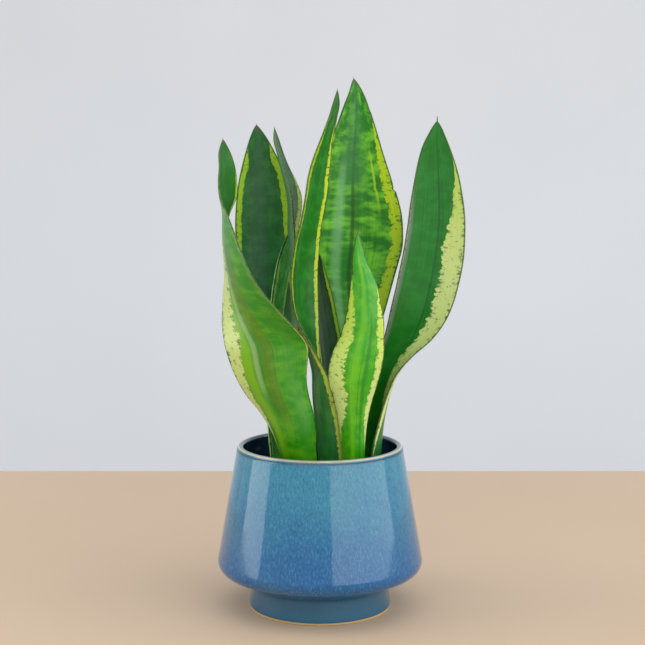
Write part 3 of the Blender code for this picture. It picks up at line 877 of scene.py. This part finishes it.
    def faces_across(self, ring: np.ndarray, below: float) -> tuple[np.ndarray, np.ndarray, np.ndarray]:
        """Reads one fine ring across the blade.

        Args:
            ring: the ring's 18 points.
            below: metres below the point.

        Returns:
            Places across from -1 to 1, and the inner and outer face's points there, both from left to right.
        """
        s = np.linspace(-1, 1, self.across + 1)
        s = np.sign(s) * (1 - (1 - np.abs(s)) ** 1.15)
        torn = sum(
            depth * math.exp(-abs(below - at) / (3.5 * MM)) * (below <= at) for at, depth in self.nicks
        )
        read = np.where(s > 0, s * (1 - torn), s)
        weights = curve_weights(np.array(self.places), read)
        half = len(self.places)
        return s, weights @ ring[:half], weights @ ring[half:][::-1]

    def relief(self, s: np.ndarray, below: float, seed: float) -> tuple[np.ndarray, np.ndarray]:
        """How far the faces stand off the plain blade.

        Args:
            s: places across.
            below: metres below the point.
            seed: where in the noise this blade lies.

        Returns:
            The inner face's and the outer face's offsets in metres, both along the inner face's outward side.
        """
        edge = np.abs(s) ** 3
        fade = min(1.0, below / (30 * MM))
        wave = np.array([
            noise.noise(Vector((seed + np.sign(a) * 3, below * 42, 0))) * self.ripple for a in s
        ]) * edge * fade
        ribs = np.array([noise.noise(Vector((a * 9, below * 6, seed))) for a in s])
        ribs = ribs * self.ribs * (1 - edge) * fade
        furrow = -self.channel * np.exp(-((s / 0.055) ** 2)) * fade
        return wave + ribs * 0.7 + furrow, wave - ribs

    def build(self) -> None:
        """Models the blade and dresses it."""
        rings, point = self.cad_rings()
        fine, below = self.rows(rings, point)
        seed = sum(ord(c) for c in self.node) * 0.37
        places, attributes = [], []
        for ring, down in zip(fine, below):
            s, inner, outer = self.faces_across(ring, down)
            spread = np.linalg.norm(np.diff(inner, axis=0), axis=1)
            from_left = np.concatenate([[0], np.cumsum(spread)])
            inset = np.minimum(from_left, from_left[-1] - from_left)
            along = np.gradient(inner, axis=0)
            normal = np.stack([along[:, 1], -along[:, 0], 0 * along[:, 0]], axis=1)
            normal /= np.linalg.norm(normal, axis=1)[:, None] + 1e-12
            up, back = self.relief(s, down, seed)
            inner = inner + normal * up[:, None]
            outer = outer + normal * back[:, None]
            edges = [
                self.blunt_edge(inner[k], outer[k], inner[j], outer[j]) for k, j in ((0, 1), (-1, -2))
            ]
            loop = [edges[0], *inner, edges[1], *outer[::-1], edges[0]]
            side = [0.5, *[0.0] * len(s), 0.5, *[1.0] * len(s), 0.5]
            placed = [-1.0, *s, 1.0, *s[::-1], -1.0]
            insets = [0.0, *inset, 0.0, *inset[::-1], 0.0]
            places.append(loop)
            attributes.append([((a, down, e), f) for a, e, f in zip(placed, insets, side)])
        places.append([point] * len(places[0]))
        attributes.append([((a[0], 0.0, 0.0), f) for a, f in attributes[-1]])
        self.skinned(places, attributes)

    def blunt_edge(
        self, inner: np.ndarray, outer: np.ndarray, inner_by: np.ndarray, outer_by: np.ndarray
    ) -> np.ndarray:
        """The rounded edge's outermost point, beyond the middle of the blunt side."""
        middle = (inner + outer) / 2
        outwards = middle - (inner_by + outer_by) / 2
        thick = np.linalg.norm(outer - inner)
        return middle + outwards / (np.linalg.norm(outwards) + 1e-12) * thick * self.edge_bulge

    def skinned(self, places: list, attributes: list) -> None:
        """Wraps a grid round the fine rings, closes it and makes it the blade's piece.

        Args:
            places: points, row by row, each row closed on itself.
            attributes: (place, side) values of the same points.
        """
        rows, columns = len(places) - 1, len(places[0]) - 1
        bm = bmesh.new()
        place_layer = bm.verts.layers.float_vector.new("leaf_place")
        side_layer = bm.verts.layers.float.new("leaf_side")
        bmesh.ops.create_grid(bm, x_segments=columns, y_segments=rows, size=1.0)
        for vert in bm.verts:
            column, row = round((vert.co.x + 1) / 2 * columns), round((vert.co.y + 1) / 2 * rows)
            vert.co = places[row][column]
            vert[place_layer], vert[side_layer] = attributes[row][column]
        bmesh.ops.remove_doubles(bm, verts=bm.verts[:], dist=0.002 * MM)
        bmesh.ops.holes_fill(bm, edges=[e for e in bm.edges if e.is_boundary], sides=0)
        bmesh.ops.recalc_face_normals(bm, faces=bm.faces[:])
        blade = finished(bm, f"{self.node}_blade", self.finish.make(self.node))
        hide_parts(self.node)


BLADES: tuple[Blade, ...] = (
    Blade("leaf_tall_back", "dark_leaf", LeafFinish(
        deep=tone(4, 118, 12), light=tone(112, 200, 40), banding=0.85, streaks=0.35,
        margin_high=tone(170, 206, 10), margin_low=tone(170, 206, 30), ticks=0.75, seed=1.7,
        left=Margin(3, 2, 30, 60), right=Margin(9.5, 5, 18, 95),
        stripes=(
            # painted shade in the furrow along the middle of the inner face
            Stripe(0.0, 0.07, tone(8, 66, 14), 0.75, -0.03, 0.40),
            # painted highlight: a pale glossy band left of the middle
            Stripe(-0.28, 0.16, tone(122, 186, 122), 0.60, 0.05, 0.34),
            Stripe(0.10, 0.40, tone(52, 128, 62), 0.55, -0.03, 0.10),
            Stripe(-0.20, 0.55, tone(46, 118, 66), 0.45, -0.03, 0.09),
            Stripe(0.55, 0.045, tone(168, 205, 30), 0.80, 0.045, 0.11),
        ),
    ), channel=0.7 * MM, nicks=((26 * MM, 0.05), (84 * MM, 0.05))),
    Blade("leaf_tall_twisted", "dark_leaf", LeafFinish(
        deep=tone(0, 100, 8), light=tone(28, 150, 16), streaks=0.45,
        margin_high=tone(178, 200, 16), margin_low=tone(184, 206, 70), ticks=0.85, seed=4.1,
        left=Margin(7, 4, 18, 50), right=Margin(4, 3, fades=280),
        stripes=(Stripe(-0.25, 0.22, tone(58, 116, 70), 0.5, 0.04, 0.2),),
    )),
    Blade("leaf_front_broad", "bright_leaf", LeafFinish(
        deep=tone(30, 132, 4), light=tone(108, 176, 14), streaks=0.35, outer_amount=0.0,
        margin_high=tone(166, 204, 60), margin_low=tone(186, 204, 118), pale_from=0.03,
        scars=0.5, seed=7.3,
        left=Margin(4.6, 1.6, 20, 75, fades=120, gone=220),
        right=Margin(3, 19, 15, 45, fades=100, gone=260),
        stripes=(
            Stripe(0.48, 0.26, tone(118, 172, 8), 0.85, 0.06, 0.25, Face.OUTER),
            # painted highlight along the ridge of the outer face
            Stripe(0.24, 0.10, tone(158, 178, 128), 0.55, 0.06, 0.20, Face.OUTER),
            # painted shade on the hollow of the outer face, which faces down and away from the light
            Stripe(-0.02, 0.28, tone(92, 112, 10), 0.55, 0.06, 0.22, Face.OUTER),
            Stripe(-0.55, 0.35, tone(44, 128, 8), 0.5, 0.11, 0.40, Face.OUTER),
            Stripe(0.0, 3.0, tone(22, 92, 28), 0.8, -0.03, 0.40),
            Stripe(0.0, 2.0, tone(24, 92, 30), 0.75, -0.03, 0.055, Face.OUTER),
        ),
    )),
    Blade("leaf_right", "dark_leaf", LeafFinish(
        deep=tone(0, 108, 12), light=tone(34, 142, 34), banding=0.35, streaks=0.5,
        margin_high=tone(176, 204, 70), margin_low=tone(194, 212, 128), pale_from=0.03,
        seed=2.9,
        left=Margin(0.8, 0.8), right=Margin(17, 6, 22, 105, fades=190, gone=270),
        stripes=(
            # painted sheen: a grey-lilac highlight along the left edge
            Stripe(-0.95, 0.14, tone(112, 122, 112), 0.8, 0.05, 0.20),
            # painted shade along the fold in the middle
            Stripe(0.05, 0.05, tone(6, 62, 22), 0.5, 0.0, 0.30),
        ),
    ), awl=0.4),
    Blade("leaf_front_short", "bright_leaf", LeafFinish(
        deep=tone(40, 150, 0), light=tone(120, 200, 12), banding=0.35, streaks=0.5, outer_amount=0.0,
        margin_high=tone(176, 208, 60), margin_low=tone(192, 212, 126), pale_from=0.05,
        ticks=0.75, scars=0.45, seed=5.5,
        left=Margin(3, 6.5, 30, 80, fades=125, gone=180),
        right=Margin(3, 13, 22, 100, fades=115, gone=165),
        stripes=(
            Stripe(-0.35, 0.10, tone(18, 118, 2), 0.6, 0.05, 0.2, Face.OUTER),
            Stripe(0.05, 0.22, tone(120, 196, 24), 0.45, 0.0, 0.22, Face.OUTER),
        ),
    )),
    Blade("leaf_inner", "dark_leaf", LeafFinish(
        deep=tone(4, 58, 16), light=tone(20, 88, 28), banding=0.4, ticks=0.5, seed=8.8,
        margin_high=tone(150, 190, 40), margin_low=tone(150, 185, 70),
        left=Margin(1.5, 1.5, 5, 30), right=Margin(2.8, 2, 3, 30),
    )),
    Blade("leaf_back_left", "dark_leaf", LeafFinish(
        deep=tone(6, 92, 36), light=tone(44, 128, 50), banding=0.6, streaks=0.35, ticks=0.45, seed=3.3,
        margin_high=tone(150, 196, 10), margin_low=tone(120, 176, 60),
        left=Margin(4.6, 3, 14, 34, fades=80, gone=150),
        right=Margin(6.0, 3, 12, 30, fades=100, gone=170),
        stripes=(Stripe(-0.15, 0.45, tone(44, 96, 70), 0.55, -0.02, 0.30),),
        dry_tip=7 * MM,
    )),
    Blade("leaf_on_edge", "dark_leaf", LeafFinish(
        deep=tone(14, 90, 24), light=tone(60, 130, 50), ticks=0.9, seed=6.2,
        outer_wash=tone(84, 134, 92), outer_amount=0.5, margin_low=tone(170, 200, 60),
        left=Margin(1, 0.8), right=Margin(5.2, 3, 30, 60),
    )),
    Blade("leaf_small", "pale_leaf", LeafFinish(
        deep=tone(66, 160, 62), light=tone(120, 206, 108),
        margin_high=tone(160, 214, 110), margin_low=tone(172, 216, 110), ticks=0.55, seed=9.4,
        left=Margin(2.6, 2, 10, 40), right=Margin(2.2, 2, 10, 40),
    )),
)


@dataclass
class Plant:
    """The nine blades of two shoots, and the rhizome that they stand on."""

    blades: tuple[Blade, ...] = BLADES
    rhizome: RhizomeFinish = RhizomeFinish()

    def build(self) -> None:
        """Builds every blade and dresses the rhizome's CAD node."""
        for blade in self.blades:
            blade.build()
        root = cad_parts["rhizome"]
        root.data.materials.clear()
        root.data.materials.append(self.rhizome.make())
        log.info("rhizome: kept, with its own skin")


# ---- studio


@dataclass(frozen=True)
class PlainFinish:
    """A near-plain matt surface of the studio, very faintly clouded."""

    name: str
    colour: Colour
    shade: Colour
    roughness: float = 0.6

    def make(self) -> bpy.types.Material:
        """Builds the material on Object coordinates."""
        graph = Graph(self.name)
        cloud = graph.noise(graph.place(), 3.0, 0.5, 3.0)
        return graph.dress(
            Base_Color=graph.blend(cloud, self.colour, self.shade),
            Roughness=self.roughness,
            Specular_IOR_Level=0.2,
        )


@dataclass
class Studio:
    """A pale table, a pale wall far behind it, softboxes and the camera."""

    table_back: float = 0.475
    wall_back: float = 2.6
    camera_height: float = 0.348
    camera_distance: float = 1.106
    camera_side: float = 0.0019
    pitch: float = 6.66
    lens: float = 82.3
    table_finish: PlainFinish = PlainFinish("table", tone(200, 178, 154), tone(190, 167, 142))
    wall_finish: PlainFinish = PlainFinish("wall", tone(218, 219, 220), tone(212, 214, 216))

    def plane(self, name: str, half: float, near: Point, far: Point, look: bpy.types.Material) -> None:
        """A flat sheet of the set.

        Args:
            name: its name.
            half: half its width.
            near: (y, z) of one long edge.
            far: (y, z) of the other.
            look: its material.
        """
        corners = [(-half, *near), (half, *near), (half, *far), (-half, *far)]
        bm = bmesh.new()
        bm.faces.new([bm.verts.new(corner) for corner in corners])
        mesh = bpy.data.meshes.new(name)
        bm.to_mesh(mesh)
        bm.free()
        mesh.materials.append(look)
        linked(name, mesh)

    def softbox(
        self, name: str, azimuth: float, distance: float, height: float, size: Point, watts: float
    ) -> None:
        """A rectangular soft light that faces the plant.

        Args:
            name: its name.
            azimuth: degrees to the right of the camera's side.
            distance: metres from the plant.
            height: of its middle.
            size: width and height.
            watts: its power.
        """
        light = bpy.data.lights.new(name, "AREA")
        light.shape, light.size, light.size_y = "RECTANGLE", *size
        light.energy = watts
        made = linked(name, light)
        turn = math.radians(azimuth)
        made.location = (distance * math.sin(turn), -distance * math.cos(turn), height)
        aim = Vector(LIGHT_AIM) - made.location
        made.rotation_euler = aim.to_track_quat("-Z", "Y").to_euler()

    def sky(self) -> None:
        """Even soft light from all round."""
        world = bpy.data.worlds.new("studio")
        world.use_nodes = True
        background = world.node_tree.nodes["Background"]
        background.inputs["Color"].default_value = (*tone(236, 238, 242), 1.0)
        background.inputs["Strength"].default_value = 0.95
        bpy.context.scene.world = world

    def camera(self) -> None:
        """The camera at the plant's front, looking slightly down."""
        lens = bpy.data.cameras.new("camera")
        lens.lens = self.lens
        made = linked("camera", lens)
        made.location = (self.camera_side, -self.camera_distance, self.camera_height)
        made.rotation_euler = (math.radians(90 - self.pitch), 0, 0)
        bpy.context.scene.camera = made

    def build(self) -> None:
        """Sets up table, wall, lights and camera."""
        table_front, table_back = (-2.4, 0), (self.table_back, 0)
        wall_foot, wall_top = (self.wall_back, -2), (self.wall_back, 4)
        self.plane("table", 2.2, table_front, table_back, self.table_finish.make())
        self.plane("wall", 4, wall_foot, wall_top, self.wall_finish.make())
        self.softbox("window_left", azimuth=-85, distance=1.3, height=0.55, size=(0.85, 1.5), watts=8)
        self.softbox("softbox_right", azimuth=55, distance=1.6, height=0.8, size=(3.2, 1.8), watts=26)
        self.softbox("overhead", azimuth=10, distance=0.8, height=2.1, size=(2.4, 2.4), watts=12)
        self.sky()
        self.camera()
        bpy.context.scene.view_settings.view_transform = "Standard"
        log.info("studio: table, wall, lights and camera")


def main() -> None:
    """Builds the studio, the pot, the mix and the plant in order."""
    Studio().build()
    pot = Pot()
    pot.build()
    PottingMix(pot).build()
    Plant().build()


if __name__ == "__main__":
    logging.basicConfig(level=logging.INFO, format="%(name)s %(message)s")
    main()
